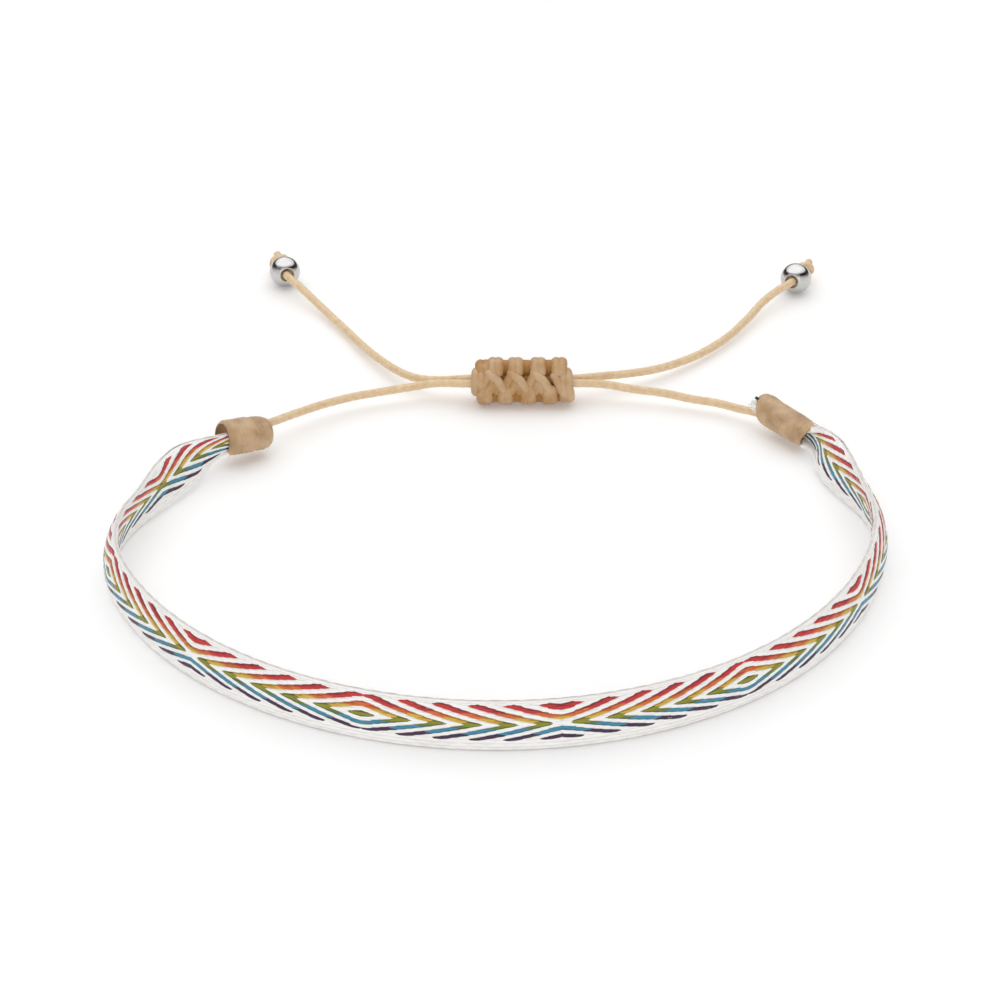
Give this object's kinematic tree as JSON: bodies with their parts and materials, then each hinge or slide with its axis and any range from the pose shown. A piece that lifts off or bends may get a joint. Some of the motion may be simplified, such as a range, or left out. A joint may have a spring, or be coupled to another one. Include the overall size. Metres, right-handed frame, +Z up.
{
  "type": "woven bracelet",
  "caption": "Patterned woven band bracelet, an open ring that closes on two cords through a sliding knot, with a steel bead near the end of each cord.",
  "frame": {"origin": "centre of the ring, band and knot seen from above, on the surface the bracelet lies on", "axes": "+X across the ring towards the wearer's right as it is looked at from the front, +Y from the front of the band towards the sliding knot and the cord ends, +Z up along the height of the band"},
  "size_m": [0.069, 0.0899, 0.0045],
  "materials": {
    "band_yarn": "matte woven yarn, white with chevrons and diamonds in red, orange, yellow, olive, teal and dark purple",
    "wrap_thread": "tan thread wound tight, faint sheen",
    "knotting_thread": "tan knotted thread, faint sheen",
    "waxed_cord": "pale tan waxed cord, satin",
    "steel_bead": "polished steel"
  },
  "bodies": {
    "root": {"woven_band": "band_yarn", "end_wrap_left": "wrap_thread", "end_wrap_right": "wrap_thread", "sliding_knot": "knotting_thread", "cord_left": "waxed_cord", "cord_right": "waxed_cord", "bead_left": "steel_bead", "bead_right": "steel_bead", "stopper_knot_left": "waxed_cord", "stopper_knot_right": "waxed_cord"}
  },
  "joints": []
}
